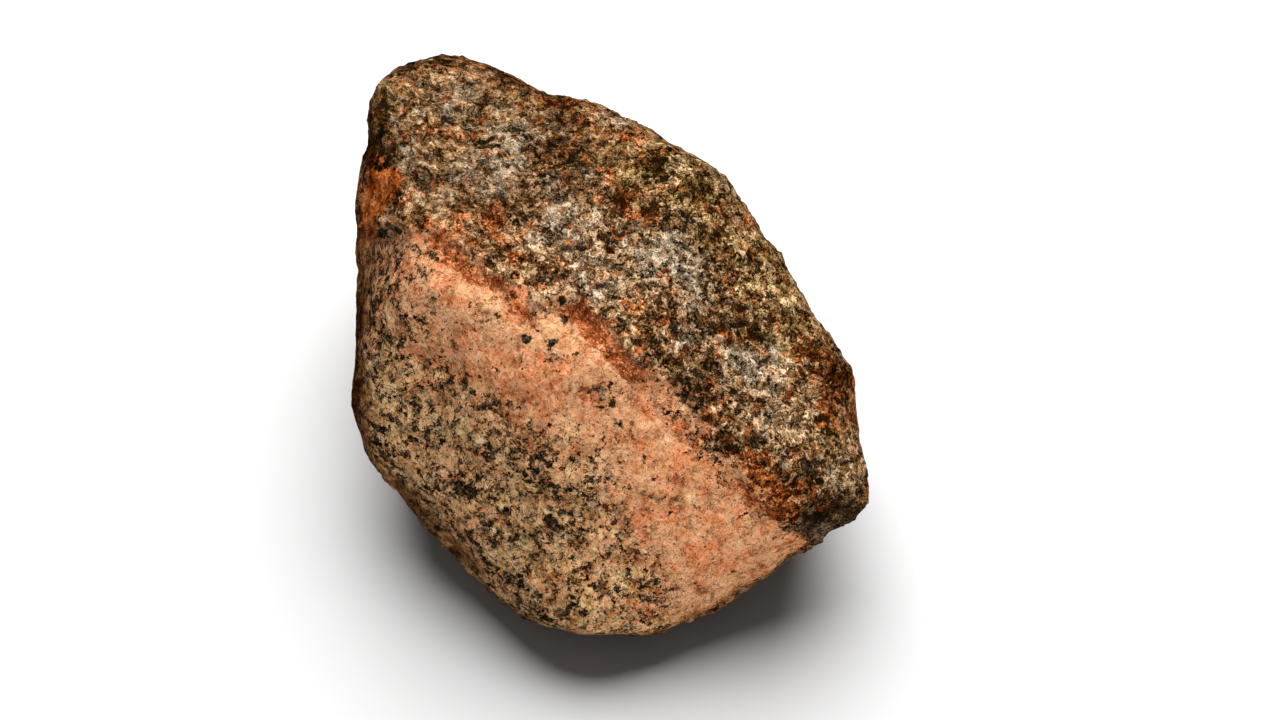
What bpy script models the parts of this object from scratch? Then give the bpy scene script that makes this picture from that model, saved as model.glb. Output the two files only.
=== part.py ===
"""A single rough stone, about 100 mm across, that rests on a broken flat base.

The stone is one solid. It is described in its display frame: U to the right,
V up the face that shows best and W out of that face, which leans back from
the vertical. The body is the space inside
  - a barrel wall that follows the stone's outline in U and V,
  - the broken facets of the display side and of the hidden side,
  - the flat it rests on,
blended with a small radius, then dented and roughened.
All lengths here are millimetres. The model is in metres, +Z up, with its
origin at the middle of the base.
"""

import math

import bmesh
import bpy
import numpy as np
from mathutils import Vector, noise

# ---------------------------------------------------------------- dimensions
MM = 0.001
FACE_LEAN = 62.0  # degrees: how far the display direction W rises from the horizontal
BASE_DROP = 25.5  # from the middle of the body down to the base
CENTRE = (0.135, -0.271)  # where the middle of the body stands over the base, X and Y
BLEND = 1.35  # softness of the edges between facets
BARREL = 34.0  # radius of the side wall, across the outline
SWELL = 0.95  # how far the side wall stands out to make up for the blend
DIVISIONS = 20  # each side of the twenty starting triangles is cut into this many

# Corners of the outline, U and V, clockwise from the top
OUTLINE = [
    (-26.8, 45.0),
    (-21.0, 43.6),
    (-13.2, 40.8),
    (-9.6, 38.6),
    (-4.0, 37.6),
    (6.1, 32.9),
    (17.0, 25.4),
    (27.1, 10.3),
    (36.0, -4.0),
    (37.5, -14.9),
    (39.3, -23.8),
    (38.8, -26.6),
    (31.4, -30.9),
    (23.3, -36.1),
    (13.2, -42.8),
    (7.7, -44.6),
    (-1.5, -44.4),
    (-9.5, -43.4),
    (-14.9, -41.9),
    (-22.4, -35.2),
    (-27.8, -28.2),
    (-37.6, -16.2),
    (-39.6, -9.2),
    (-39.0, 11.5),
    (-39.4, 21.5),
    (-37.4, 30.0),
    (-36.0, 40.2),
    (-32.4, 43.6),
]

# Facets of the display side: a point on each and the way it faces, in U, V, W
DISPLAY_FACETS = [
    ((1.5, -0.8, 26.5), (0.04, 0.47, 0.88)),  # rough face, upper left
    ((1.5, -0.8, 26.5), (0.46, 0.27, 0.85)),  # rough face, right
    ((20.0, 18.0, 13.0), (0.58, 0.52, 0.63)),  # its shoulder, upper right
    ((1.5, -6.0, 25.5), (0.04, -0.40, 0.915)),  # smooth face, below the ledge
    ((-7.7, -8.4, 24.0), (-0.42, -0.33, 0.845)),  # speckled face, lower left
    ((-36.2, 7.0, 11.0), (-0.93, 0.02, 0.37)),  # left side strip
    ((-34.6, 27.0, 13.5), (-0.82, 0.02, 0.57)),  # left side, upper
    ((-30.0, -22.5, 5.0), (-0.66, -0.58, 0.48)),  # lower left edge
    ((-20.0, 42.4, 6.0), (0.10, 0.87, 0.49)),  # top edge
    ((36.5, -8.0, 8.5), (0.88, 0.22, 0.42)),  # right edge
    ((33.0, -28.0, 8.5), (0.36, -0.72, 0.59)),  # under the lower right tip
]

# Facets of the hidden side: a point on each and the way it faces, in X, Y, Z
HIDDEN_FACETS = [
    ((0.0, 43.0, 14.0), (0.05, 0.985, -0.16)),  # back
    ((-29.0, 38.5, 5.0), (-0.62, 0.76, -0.18)),  # back left
    ((20.0, 36.0, 5.0), (0.60, 0.78, -0.20)),  # back right
    ((37.0, 12.0, -8.0), (0.90, 0.34, -0.27)),  # right
    ((33.0, -14.0, -18.0), (0.72, -0.30, -0.62)),  # right, under
    ((-37.0, 4.0, -10.0), (-0.90, 0.10, -0.42)),  # left, under
    ((-22.0, -28.0, -20.0), (-0.50, -0.55, -0.67)),  # front left, under
    ((8.0, -39.0, -21.5), (0.10, -0.72, -0.69)),  # front, under
    ((0.0, 30.0, -20.0), (0.0, 0.72, -0.70)),  # back, under
]

# The ledge between the rough face and the smooth one, U and V, from the left
LEDGE = [
    (-36.0, 17.5),
    (-28.0, 16.0),
    (-21.0, 11.8),
    (-15.5, 5.5),
    (-9.5, 2.8),
    (-5.5, 5.0),
    (-1.0, 2.5),
    (4.5, -5.0),
    (10.5, -8.5),
    (14.5, -12.5),
    (17.5, -19.5),
    (22.0, -25.0),
    (29.0, -29.0),
    (34.0, -31.0),
]
LEDGE_STEP = 1.1  # how far the smooth face lies below the rough one at the ledge
LEDGE_WIDTH = 1.6  # half the width of the slope down the ledge
LEDGE_REACH = 12.0  # how far down the smooth face that step fades out

# Hollows and swellings: centre in U, V, W, radii in U, V, W, depth (minus swells)
DENTS = [
    ((-9.0, 0.5, 24.0), (9.0, 6.0, 14.0), 0.8),  # scoop under the ledge, left
    ((3.0, -8.5, 24.0), (9.0, 6.0, 14.0), 0.9),  # scoop under the ledge, middle
    ((16.0, -26.0, 17.0), (8.0, 8.0, 12.0), 0.5),
    ((-2.0, 20.0, 17.0), (10.0, 3.5, 12.0), 0.7),  # furrow across the rough face
    ((12.0, 12.0, 18.0), (8.0, 4.0, 12.0), 0.6),
    ((-26.0, 28.0, 12.0), (6.0, 8.0, 10.0), -0.7),
    ((20.0, -2.0, 15.0), (6.0, 4.0, 9.0), 0.7),
    ((24.0, -14.0, 15.0), (5.0, 7.0, 9.0), -0.8),
    ((-34.5, 22.5, 11.0), (3.2, 6.0, 7.0), 0.9),  # chip in the left edge
    ((-20.0, -14.0, 17.0), (10.0, 8.0, 9.0), -0.6),
    ((-9.8, 39.0, 3.0), (3.0, 3.5, 10.0), 0.45),  # notch in the top edge
]

# ------------------------------------------------------------------- the form
_lean = math.radians(FACE_LEAN)
SIN, COS = math.sin(_lean), math.cos(_lean)


def to_display(p):
    """X, Y, Z from the middle of the body, as U, V, W."""
    x, y, z = p[:, 0], p[:, 1], p[:, 2]
    return np.stack([x, y * SIN + z * COS, z * SIN - y * COS], 1)


def to_body(n):
    """A direction or point in U, V, W as X, Y, Z."""
    u, v, w = n
    return (u, v * SIN - w * COS, v * COS + w * SIN)


def inside_outline(u, v):
    """Distance outside the outline, negative inside it."""
    corners = np.array(OUTLINE)
    ends = np.roll(corners, -1, axis=0)
    nearest = np.full(len(u), 1e9)
    inside = np.zeros(len(u), bool)
    for (au, av), (bu, bv) in zip(corners, ends):
        eu, ev = bu - au, bv - av
        t = np.clip(((u - au) * eu + (v - av) * ev) / (eu * eu + ev * ev), 0, 1)
        nearest = np.minimum(nearest, np.hypot(u - au - t * eu, v - av - t * ev))
        crosses = (av > v) != (bv > v)
        slope = (bu - au) / (bv - av) if bv != av else 0.0
        inside ^= crosses & (u < au + slope * (v - av))
    return np.where(inside, -nearest, nearest)


def beside_ledge(u, v):
    """Distance from the ledge line, positive on the rough face's side."""
    line = np.array(LEDGE)
    nearest = np.full(len(u), 1e9)
    side = np.zeros(len(u))
    for (au, av), (bu, bv) in zip(line[:-1], line[1:]):
        eu, ev = bu - au, bv - av
        t = np.clip(((u - au) * eu + (v - av) * ev) / (eu * eu + ev * ev), 0, 1)
        d = np.hypot(u - au - t * eu, v - av - t * ev)
        s = np.sign(eu * (v - av) - ev * (u - au))
        closer = d < nearest
        side = np.where(closer, s, side)
        nearest = np.minimum(nearest, d)
    return nearest * side


def smoothstep(a, b, x):
    t = np.clip((x - a) / (b - a), 0, 1)
    return t * t * (3 - 2 * t)


def form(p):
    """Below 0 inside the stone, above 0 outside, about in millimetres."""
    d = to_display(p)
    u, v, w = d[:, 0], d[:, 1], d[:, 2]
    rim = 1.0 + 0.05 * u - 0.10 * v
    terms = [inside_outline(u, v) - SWELL + (w - rim) ** 2 / (2 * BARREL)]
    for at, way in DISPLAY_FACETS:
        n = np.array(way) / np.linalg.norm(way)
        terms.append((d - np.array(at)) @ n)
    for at, way in HIDDEN_FACETS:
        n = np.array(way) / np.linalg.norm(way)
        terms.append((p - np.array(at)) @ n)
    terms = np.stack(terms)
    top = terms.max(0)
    f = top + BLEND * np.log(np.exp((terms - top) / BLEND).sum(0))
    s = beside_ledge(u, v)
    front = smoothstep(2.0, 10.0, w)
    down = smoothstep(-LEDGE_WIDTH, LEDGE_WIDTH, -s)
    f += LEDGE_STEP * front * down * smoothstep(-LEDGE_REACH, -LEDGE_WIDTH, s)
    for at, radii, depth in DENTS:
        q = ((d - np.array(at)) / np.array(radii)) ** 2
        f += depth * np.exp(-q.sum(1))
    return f


def roughness_of(p):
    """Broad bumps and hollows of the broken surface, in millimetres outwards."""
    out = np.empty(len(p))
    for i, q in enumerate(p):
        a = noise.fractal(Vector(q) / 17.0 + Vector((3.1, 7.7, 1.3)), 1.0, 2.0, 3)
        b = noise.noise(Vector(q) / 5.2 + Vector((11.0, 2.0, 5.0)))
        out[i] = 0.85 * a + 0.42 * b
    return out


def surface(directions):
    """Where the stone's surface lies along each direction from its middle."""
    near, far = np.full(len(directions), 2.0), np.full(len(directions), 90.0)
    for _ in range(34):
        mid = (near + far) / 2
        outside = form(directions * mid[:, None]) > 0
        far, near = np.where(outside, mid, far), np.where(outside, near, mid)
    p = directions * ((near + far) / 2)[:, None]
    h = 0.25
    slope = np.stack(
        [form(p + h * e) - form(p - h * e) for e in np.eye(3)],
        1,
    )
    slope /= np.linalg.norm(slope, axis=1)[:, None]
    return p + slope * roughness_of(p)[:, None]


def rest_flat(p):
    """Cuts the stone off at its base: what lies lower is drawn back to it."""
    under = p[:, 2] < -BASE_DROP
    p[under] *= (-BASE_DROP / p[under, 2])[:, None]
    return p


# ------------------------------------------------------------------ the solid
for old in list(bpy.data.objects):
    bpy.data.objects.remove(old, do_unlink=True)

bm = bmesh.new()
bmesh.ops.create_icosphere(bm, subdivisions=1, radius=1.0)
bmesh.ops.subdivide_edges(bm, edges=bm.edges[:], cuts=DIVISIONS - 1, use_grid_fill=True)
bmesh.ops.triangulate(bm, faces=bm.faces[:])
ball = np.array([v.co for v in bm.verts])
ball /= np.linalg.norm(ball, axis=1)[:, None]
points = rest_flat(surface(ball))
points += np.array([CENTRE[0], CENTRE[1], BASE_DROP])
for v, p in zip(bm.verts, points):
    v.co = Vector(p * MM)
bmesh.ops.recalc_face_normals(bm, faces=bm.faces[:])

mesh = bpy.data.meshes.new("meteorite")
bm.to_mesh(mesh)
bm.free()
stone = bpy.data.objects.new("meteorite", mesh)
bpy.context.scene.collection.objects.link(stone)
mesh.shade_smooth()
mesh.set_sharp_from_angle(angle=math.radians(45))

finish = bpy.data.materials.new("weathered_stone")
finish.use_nodes = True
shader = finish.node_tree.nodes["Principled BSDF"]
shader.inputs["Base Color"].default_value = (0.21, 0.125, 0.068, 1.0)
shader.inputs["Roughness"].default_value = 0.72
shader.inputs["Metallic"].default_value = 0.0
mesh.materials.append(finish)
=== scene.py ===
"""The finished look of the stone: its broken, weathered and speckled surface.

The stone's own shape is solved again here on a much finer mesh, from the same
outline and facets as the plain solid, and then broken up grain by grain. It is
described in its display frame, in millimetres: U to the right, V up the face
that shows best and W out of that face.
"""

import math

import bpy
import numpy as np
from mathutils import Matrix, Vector, noise


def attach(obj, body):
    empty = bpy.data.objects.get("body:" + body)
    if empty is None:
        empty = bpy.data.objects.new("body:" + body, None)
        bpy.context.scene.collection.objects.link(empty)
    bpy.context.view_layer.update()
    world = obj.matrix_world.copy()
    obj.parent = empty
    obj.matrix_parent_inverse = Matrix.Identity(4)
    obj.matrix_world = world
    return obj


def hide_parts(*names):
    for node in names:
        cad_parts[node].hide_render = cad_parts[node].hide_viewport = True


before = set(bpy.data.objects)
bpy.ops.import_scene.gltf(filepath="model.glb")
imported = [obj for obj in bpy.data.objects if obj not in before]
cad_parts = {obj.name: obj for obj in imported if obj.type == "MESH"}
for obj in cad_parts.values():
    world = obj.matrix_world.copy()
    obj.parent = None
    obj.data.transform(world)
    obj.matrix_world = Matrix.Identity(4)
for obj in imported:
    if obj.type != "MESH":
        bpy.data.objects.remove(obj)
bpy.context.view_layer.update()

# ---------------------------------------------------------------- dimensions
MM = 0.001
FACE_LEAN = 62.0  # degrees: how far the display direction W rises from the horizontal
BASE_DROP = 25.5  # from the middle of the body down to the base
CENTRE = (0.135, -0.271)  # where the middle of the body stands over the base, X and Y
BLEND = 1.15  # softness of the edges between facets
BARREL = 34.0  # radius of the side wall, across the outline
SWELL = 0.80  # how far the side wall stands out to make up for the blend
DIVISIONS = 98  # each side of the twenty starting triangles is cut into this many
CROWD = 0.22  # how much closer together the points lie on the display side

# Corners of the outline, U and V, clockwise from the top
OUTLINE = [
    (-26.4, 44.4),
    (-20.7, 43.0),
    (-13.0, 40.3),
    (-9.5, 38.2),
    (-4.0, 37.3),
    (6.0, 32.2),
    (17.0, 25.4),
    (26.85, 10.2),
    (35.7, -4.0),
    (36.9, -14.65),
    (39.1, -23.65),
    (38.8, -26.6),
    (31.8, -31.3),
    (23.5, -36.35),
    (13.1, -42.5),
    (7.6, -44.15),
    (-1.5, -43.65),
    (-9.4, -42.95),
    (-14.85, -41.8),
    (-22.8, -35.8),
    (-27.95, -28.35),
    (-38.1, -16.4),
    (-39.6, -9.2),
    (-38.6, 11.4),
    (-39.4, 21.5),
    (-36.8, 29.55),
    (-36.1, 40.3),
    (-32.4, 43.5),
]

# Facets of the display side: a point on each and the way it faces, in U, V, W
DISPLAY_FACETS = [
    ((1.5, -0.8, 26.5), (0.04, 0.47, 0.88)),  # rough face, upper left
    ((1.5, -0.8, 26.5), (0.46, 0.27, 0.85)),  # rough face, right
    ((20.0, 18.0, 13.0), (0.58, 0.52, 0.63)),  # its shoulder, upper right
    ((1.5, -6.0, 25.5), (0.04, -0.40, 0.915)),  # smooth face, below the ledge
    ((-7.7, -8.4, 24.0), (-0.42, -0.33, 0.845)),  # speckled face, lower left
    ((-36.2, 7.0, 11.0), (-0.93, 0.02, 0.37)),  # left side strip
    ((-34.6, 27.0, 13.5), (-0.82, 0.02, 0.57)),  # left side, upper
    ((-30.0, -22.5, 5.0), (-0.66, -0.58, 0.48)),  # lower left edge
    ((-20.0, 42.4, 6.0), (0.10, 0.87, 0.49)),  # top edge
    ((36.5, -8.0, 8.5), (0.88, 0.22, 0.42)),  # right edge
    ((33.0, -28.0, 8.5), (0.36, -0.72, 0.59)),  # under the lower right tip
]

# Facets of the hidden side: a point on each and the way it faces, in X, Y, Z
HIDDEN_FACETS = [
    ((0.0, 43.0, 14.0), (0.05, 0.985, -0.16)),  # back
    ((-29.0, 38.5, 5.0), (-0.62, 0.76, -0.18)),  # back left
    ((20.0, 36.0, 5.0), (0.60, 0.78, -0.20)),  # back right
    ((37.0, 12.0, -8.0), (0.90, 0.34, -0.27)),  # right
    ((33.0, -14.0, -18.0), (0.72, -0.30, -0.62)),  # right, under
    ((-37.0, 4.0, -10.0), (-0.90, 0.10, -0.42)),  # left, under
    ((-22.0, -28.0, -20.0), (-0.50, -0.55, -0.67)),  # front left, under
    ((8.0, -39.0, -21.5), (0.10, -0.72, -0.69)),  # front, under
    ((0.0, 30.0, -20.0), (0.0, 0.72, -0.70)),  # back, under
]

# The ledge between the rough face and the smooth one, U and V, from the left
LEDGE = [
    (-37.0, 17.5),
    (-31.0, 17.6),
    (-26.7, 16.9),
    (-20.1, 13.3),
    (-18.4, 10.7),
    (-16.0, 9.2),
    (-12.4, 8.0),
    (-10.8, 5.8),
    (-7.7, 6.6),
    (-4.3, 5.7),
    (-1.6, 3.6),
    (2.3, -0.2),
    (5.8, -4.6),
    (10.0, -6.7),
    (13.4, -10.6),
    (16.0, -16.0),
    (19.3, -19.6),
    (24.5, -25.9),
    (29.0, -29.2),
    (34.0, -31.0),
]
# Where the speckled face begins below the pink band, U and V, from the left
SPECKLED = [
    (-39.5, 4.5),
    (-32.2, 1.5),
    (-24.5, -4.6),
    (-16.9, -8.4),
    (-10.7, -13.0),
    (-5.4, -15.3),
    (-1.5, -20.7),
    (2.3, -26.8),
    (4.6, -33.0),
    (6.1, -39.1),
    (7.7, -45.5),
]
LEDGE_STEP = 1.25  # how far the smooth face lies below the rough one at the ledge
LEDGE_WIDTH = 0.75  # half the width of the slope down the ledge
LEDGE_REACH = 12.0  # how far down the smooth face that step fades out

# Hollows and swellings: centre in U, V, W, radii in U, V, W, depth (minus swells)
DENTS = [
    ((-9.0, 0.5, 24.0), (9.0, 6.0, 14.0), 0.8),  # scoop under the ledge, left
    ((3.0, -8.5, 24.0), (9.0, 6.0, 14.0), 0.9),  # scoop under the ledge, middle
    ((16.0, -26.0, 17.0), (8.0, 8.0, 12.0), 0.5),
    ((-2.0, 20.0, 17.0), (10.0, 3.5, 12.0), 0.7),  # furrow across the rough face
    ((12.0, 12.0, 18.0), (8.0, 4.0, 12.0), 0.6),
    ((-26.0, 28.0, 12.0), (6.0, 8.0, 10.0), -0.7),
    ((20.0, -2.0, 15.0), (6.0, 4.0, 9.0), 0.7),
    ((24.0, -14.0, 15.0), (5.0, 7.0, 9.0), -0.8),
    ((-34.5, 22.5, 11.0), (3.2, 6.0, 7.0), 0.9),  # chip in the left edge
    ((-20.0, -14.0, 17.0), (10.0, 8.0, 9.0), -0.6),
    ((-9.8, 39.0, 3.0), (3.0, 3.5, 10.0), 0.45),  # notch in the top edge
]

# Where the minerals and stains of the display side lie. Each spot is a middle
# in U and V, its half width and half height, how far it is turned, and how
# strong it is.
PALE = [  # grey-white quartz and feldspar in the rough face
    ((-23.0, 39.5), (4.0, 1.8), -0.1, 0.7),
    ((-25.0, 35.0), (8.0, 2.2), 0.05, 0.5),
    ((-14.0, 32.0), (5.0, 2.8), -0.2, 0.9),
    ((-19.5, 26.0), (7.0, 3.5), 0.1, 0.9),
    ((-30.0, 30.0), (3.5, 2.5), 0.0, 0.5),
    ((-7.0, 18.5), (6.0, 4.5), 0.0, 0.85),
    ((8.0, 14.0), (4.5, 5.0), -0.4, 1.0),
    ((12.5, 8.5), (3.0, 4.5), 0.2, 0.8),
    ((-2.5, 9.0), (5.0, 4.0), 0.0, 0.55),
    ((2.0, 34.0), (3.0, 1.4), -0.4, 0.6),
    ((14.5, 26.5), (5.0, 1.8), -0.5, 0.6),
    ((22.0, -3.0), (5.0, 3.0), 0.0, 1.0),
    ((23.5, -11.0), (5.0, 3.0), -0.3, 0.7),
    ((34.5, -18.5), (2.5, 4.5), 0.0, 0.6),
    ((11.2, 0.9), (1.3, 1.4), 0.0, 1.3),
]
SHADE = [  # painted shade in the creases of the rough face, and its darkest patches
    ((-13.5, 41.0), (8.0, 1.8), -0.45, 0.5),
    ((-30.0, 43.5), (6.0, 2.0), 0.1, 0.7),
    ((-9.0, 32.0), (3.0, 5.0), 0.4, 0.4),
    ((-5.0, 27.5), (4.0, 4.0), 0.0, 0.5),
    ((3.0, 21.0), (6.0, 2.5), -0.2, 0.35),
    ((16.0, 20.5), (6.0, 5.0), -0.5, 0.35),
    ((20.0, 3.0), (8.0, 3.0), -0.2, 0.5),
    ((12.0, -5.5), (5.0, 3.0), -0.2, 0.7),
    ((7.0, -1.5), (4.0, 3.0), 0.0, 0.5),
    ((30.5, -3.0), (3.0, 3.0), 0.0, 0.5),
    ((33.5, -7.5), (2.5, 3.5), 0.0, 0.6),
    ((29.0, -20.0), (3.0, 3.5), 0.0, 0.8),
    ((33.0, -27.0), (7.0, 3.0), 0.25, 1.5),
    ((18.0, -15.5), (3.0, 2.5), -0.8, 0.5),
    ((-34.5, 29.0), (1.8, 6.5), 0.0, 0.9),
    ((-17.5, 20.5), (4.0, 2.0), 0.0, 0.35),
    ((4.0, 22.2), (7.5, 1.2), -0.42, 0.35),
    ((9.2, 18.8), (2.6, 1.3), -0.6, 0.4),
    ((6.0, 27.2), (2.0, 1.2), -0.5, 0.8),
    ((8.7, 29.0), (0.9, 1.7), 0.1, 0.7),
    ((-6.5, 35.5), (4.0, 1.6), -0.55, 0.4),
    ((-25.0, 25.0), (5.0, 1.0), -0.2, 0.4),
    ((-33.0, 24.5), (1.4, 3.5), 0.3, 0.7),
    ((17.0, 8.0), (5.0, 1.2), -0.7, 0.6),
    ((13.5, 3.0), (3.0, 1.2), -0.9, 0.5),
]
RUST = [  # brown iron stain in the rough face
    ((-8.0, 38.0), (4.0, 2.0), -0.3, 0.35),
    ((-14.0, 39.0), (4.0, 1.5), -0.4, 0.25),
    ((-25.0, 31.5), (5.5, 1.4), 0.0, 0.5),
    ((-17.0, 18.5), (5.0, 4.0), 0.0, 0.7),
    ((-12.0, 28.0), (4.0, 2.0), 0.3, 0.4),
    ((1.0, 22.0), (5.0, 2.0), -0.1, 0.4),
    ((6.0, 20.5), (3.0, 2.0), 0.0, 0.45),
    ((-3.0, 30.5), (3.0, 3.0), 0.0, 0.35),
    ((3.5, 32.0), (2.5, 1.5), -0.4, 0.9),
    ((7.0, 9.5), (2.0, 2.0), 0.0, 0.5),
    ((4.0, 4.5), (3.0, 3.0), 0.0, 0.5),
    ((30.0, -1.0), (4.0, 2.0), -0.5, 0.9),
    ((33.5, -7.0), (2.5, 4.0), 0.0, 0.8),
    ((20.5, -19.0), (4.0, 3.0), -0.7, 1.0),
    ((25.0, -22.5), (4.5, 3.0), -0.5, 1.0),
    ((28.0, -16.0), (2.0, 2.0), 0.0, 0.5),
    ((16.0, -9.0), (2.0, 3.0), 0.0, 0.5),
    ((-29.0, 18.0), (3.0, 2.0), 0.0, 0.5),
    ((-9.0, 9.5), (4.0, 2.5), -0.3, 0.5),
    ((22.5, -21.5), (7.0, 2.6), -0.6, 1.1),
    ((-5.5, 36.5), (5.0, 1.8), -0.5, 0.4),
    ((4.5, 19.5), (3.6, 1.8), -0.4, 0.45),
    ((-15.5, 14.0), (1.6, 3.2), 0.3, 0.7),
    ((-6.5, 11.5), (1.6, 2.2), 0.4, 0.6),
]
OLIVE = [  # yellow-green weathering on the right of the rough face
    ((15.0, 20.0), (12.0, 9.0), -0.6, 1.0),
    ((26.0, 5.0), (8.0, 9.0), -0.3, 0.9),
    ((8.0, 27.0), (7.0, 4.0), -0.3, 0.8),
    ((34.0, -15.0), (4.0, 7.0), 0.0, 0.9),
    ((-34.0, 36.0), (4.0, 6.0), 0.0, 0.6),
    ((-20.0, 36.0), (12.0, 2.0), 0.0, 0.4),
]
LAYERED = [  # where the rough face has fine wavy layers
    ((-24.0, 33.0), (15.0, 10.0), 0.0, 1.0),
    ((-10.0, 27.0), (9.0, 7.0), 0.2, 0.8),
]
SCARP = [  # red-brown broken faces along the ledge
    ((-25.6, 15.9), (1.8, 0.9), -0.5, 1.0),
    ((-22.8, 13.2), (2.6, 1.7), -0.65, 1.25),
    ((-19.6, 10.4), (2.2, 1.2), -0.75, 0.7),
    ((-16.9, 9.6), (0.9, 1.1), 0.2, 1.0),
    ((-13.2, 6.2), (1.9, 1.3), -0.95, 0.9),
    ((-11.4, 3.4), (0.9, 1.8), 0.3, 0.75),
    ((-5.2, 5.1), (2.2, 0.9), 0.0, 1.2),
    ((-3.0, 3.0), (2.2, 1.7), -0.9, 1.4),
    ((-0.9, 0.4), (1.8, 1.2), -0.95, 1.2),
    ((1.6, -1.8), (1.9, 1.6), -0.9, 1.2),
    ((3.6, -4.2), (1.9, 1.2), -0.9, 1.2),
    ((-16.2, 19.0), (0.7, 3.0), 0.1, 0.8),
    ((22.5, -24.0), (4.5, 1.6), -0.65, 0.8),
]
RIGHT_EDGE = [  # a red-brown strip down the right edge
    ((37.6, -8.5), (1.0, 6.0), 0.12, 1.3),
    ((38.9, -16.5), (0.7, 5.0), 0.2, 0.8),
]
ORANGE = [  # the orange stain on the left edge
    ((-34.2, 24.6), (2.4, 2.6), 0.2, 0.95),
    ((-35.6, 21.6), (2.6, 3.4), -0.3, 1.1),
    ((-37.6, 17.2), (1.5, 2.8), 0.0, 0.8),
    ((-32.2, 25.6), (1.3, 1.5), 0.0, 0.55),
]
RIM_SHADE_AND_CRUST = [  # painted shade at the rims of the display side where they turn from the light, with dark crust
    ((-39.6, 6.0), (1.9, 12.0), 0.0, 1.05),
    ((-39.4, -9.0), (1.6, 6.0), 0.0, 0.9),
    ((-29.0, -29.8), (17.0, 2.0), -0.83, 0.6),
    ((-14.0, 41.0), (13.0, 2.0), -0.30, 0.5),
    ((-37.6, 34.0), (1.5, 10.0), 0.05, 1.0),
    ((-31.0, 44.5), (6.0, 1.8), 0.0, 0.7),
    ((33.8, -4.6), (2.4, 5.5), 0.2, 0.8),
    ((-36.2, 29.0), (1.2, 5.0), 0.0, 0.6),
    ((31.0, -31.5), (9.0, 1.2), 0.35, 0.6),
]
CLEAR = [  # a patch of the smooth face with few specks
    ((-27.0, 8.5), (5.5, 5.0), -0.6, 1.0),
    ((-1.5, -29.0), (6.0, 9.0), 0.0, 0.4),
]
CLUSTERS = [  # where black mica gathers in the pale smooth face
    ((-0.5, -7.6), (2.8, 2.1), 0.0, 1.0),
    ((-8.2, -2.2), (1.4, 1.6), 0.0, 0.75),
    ((8.0, -9.0), (3.5, 2.0), -0.6, 0.75),
    ((13.5, -14.0), (2.2, 4.0), 0.3, 0.8),
    ((17.0, -21.0), (2.0, 3.0), 0.3, 0.55),
    ((-36.5, 9.0), (4.0, 9.0), 0.0, 0.75),
    ((-32.0, 10.5), (7.0, 8.0), 0.0, 0.6),
    ((-24.0, 2.0), (6.0, 3.0), -0.3, 0.35),
    ((-34.0, 16.0), (3.5, 2.0), 0.0, 0.75),
    ((-27.0, 14.5), (3.5, 1.5), -0.4, 0.5),
    ((-9.0, 5.5), (3.0, 1.6), 0.0, 0.5),
    ((1.5, -13.5), (4.0, 3.0), -0.6, 0.35),
    ((9.0, -38.0), (4.0, 3.0), 0.0, 0.45),
]
# Single black grains: middle in U and V, half width and half height, turn
BLACK_GRAINS = [
    ((-34.4, 16.9), (0.85, 0.75), 0.3),
    ((-33.4, 18.2), (0.50, 0.45), 0.0),
    ((-6.9, 6.4), (0.80, 0.70), 0.2),
    ((-6.6, 3.8), (0.75, 0.62), -0.3),
    ((-12.3, 0.8), (0.80, 0.78), 0.0),
    ((-8.4, 0.3), (0.95, 0.55), 0.4),
    ((-8.7, 9.4), (0.45, 0.50), 0.0),
    ((-36.4, 8.2), (0.60, 0.70), 0.0),
    ((-5.0, -1.4), (0.50, 0.24), 0.4),
    ((9.7, 2.2), (0.60, 1.20), 0.2),
    ((-26.9, 13.6), (0.35, 0.30), 0.0),
    ((-3.0, -7.0), (0.45, 0.40), 0.0),
    ((0.2, -5.9), (0.50, 0.30), 0.5),
    ((29.6, -18.0), (0.70, 1.60), 0.7),
]

# ------------------------------------------------------------------- the form
_lean = math.radians(FACE_LEAN)
SIN, COS = math.sin(_lean), math.cos(_lean)


def to_display(p):
    """X, Y, Z from the middle of the body, as U, V, W."""
    x, y, z = p[:, 0], p[:, 1], p[:, 2]
    return np.stack([x, y * SIN + z * COS, z * SIN - y * COS], 1)


def to_body(n):
    """A direction or point in U, V, W as X, Y, Z."""
    u, v, w = n
    return (u, v * SIN - w * COS, v * COS + w * SIN)


def inside_outline(u, v):
    """Distance outside the outline, negative inside it."""
    corners = np.array(OUTLINE)
    ends = np.roll(corners, -1, axis=0)
    nearest = np.full(len(u), 1e9)
    inside = np.zeros(len(u), bool)
    for (au, av), (bu, bv) in zip(corners, ends):
        eu, ev = bu - au, bv - av
        t = np.clip(((u - au) * eu + (v - av) * ev) / (eu * eu + ev * ev), 0, 1)
        nearest = np.minimum(nearest, (u - au - t * eu) ** 2 + (v - av - t * ev) ** 2)
        crosses = (av > v) != (bv > v)
        slope = (bu - au) / (bv - av) if bv != av else 0.0
        inside ^= crosses & (u < au + slope * (v - av))
    nearest = np.sqrt(nearest)
    return np.where(inside, -nearest, nearest)


def beside(line, u, v):
    """Distance from a line that runs to the right, positive above it."""
    line = np.array(line)
    nearest = np.full(len(u), 1e9)
    side = np.zeros(len(u))
    for (au, av), (bu, bv) in zip(line[:-1], line[1:]):
        eu, ev = bu - au, bv - av
        t = np.clip(((u - au) * eu + (v - av) * ev) / (eu * eu + ev * ev), 0, 1)
        d = np.hypot(u - au - t * eu, v - av - t * ev)
        s = np.sign(eu * (v - av) - ev * (u - au))
        closer = d < nearest
        side = np.where(closer, s, side)
        nearest = np.minimum(nearest, d)
    return nearest * side


def smoothstep(a, b, x):
    t = np.clip((x - a) / (b - a), 0, 1)
    return t * t * (3 - 2 * t)


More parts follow.
